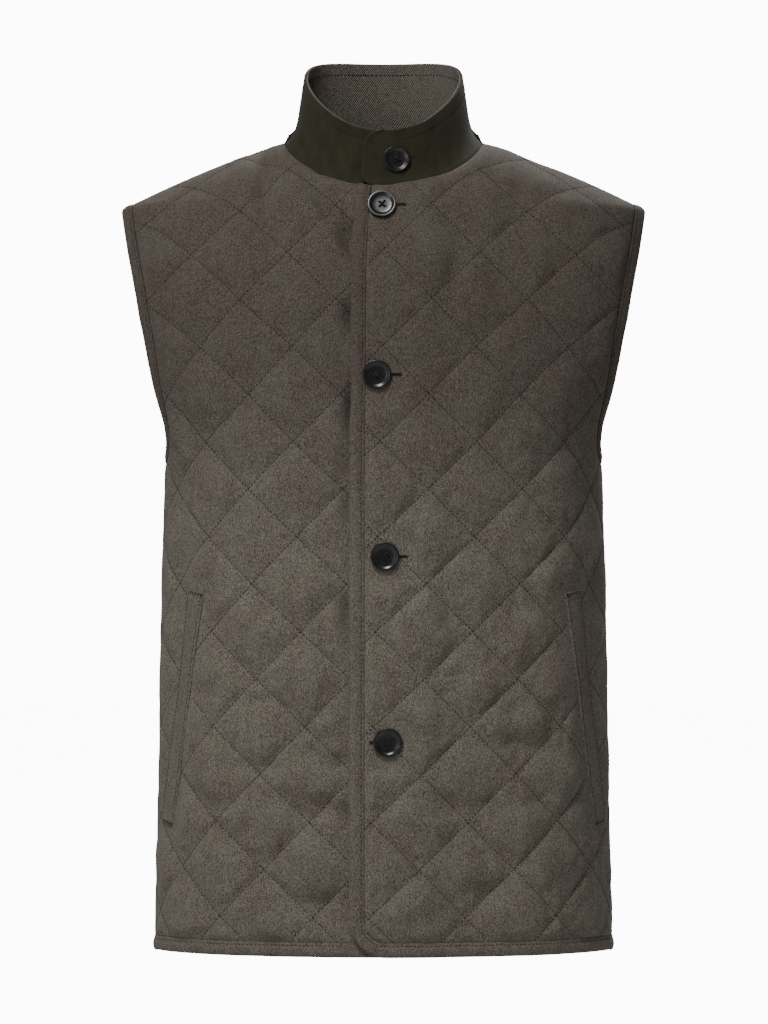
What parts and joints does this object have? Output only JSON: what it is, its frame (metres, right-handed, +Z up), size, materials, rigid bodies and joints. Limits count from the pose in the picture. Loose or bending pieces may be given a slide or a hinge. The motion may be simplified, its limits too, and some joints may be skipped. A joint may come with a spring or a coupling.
{
  "type": "quilted vest",
  "caption": "Sleeveless diamond-quilted vest with stand collar, button front, bound edges and slanted welt pockets, in its worn, hollow form.",
  "frame": {"origin": "midway between the two points where the shoulder seams meet the collar, in the plane of the shoulder and side seams", "axes": "+X to the wearer's left, -Y to the front, +Z up"},
  "size_m": [0.4474, 0.2673, 0.7626],
  "materials": {
    "quilted_cloth": "matt grey-brown twill with a fine mottled grain",
    "binding_cloth": "matt grey-brown twill, unquilted",
    "collar_cloth": "matt brushed olive cotton",
    "collar_facing_cloth": "matt grey-brown diagonal twill",
    "buttons": "polished, near black"
  },
  "bodies": {
    "root": {"front_left": "quilted_cloth", "front_right": "quilted_cloth", "back": "quilted_cloth", "edge_binding_left": "binding_cloth", "edge_binding_right": "binding_cloth", "hem_binding_back": "binding_cloth", "armhole_binding_left": "binding_cloth", "armhole_binding_right": "binding_cloth", "pocket_welt_left": "binding_cloth", "pocket_welt_right": "binding_cloth", "collar_shell": "collar_cloth", "collar_facing": "collar_facing_cloth", "button_collar": "buttons", "button_1": "buttons", "button_2": "buttons", "button_3": "buttons", "button_4": "buttons"}
  },
  "joints": []
}
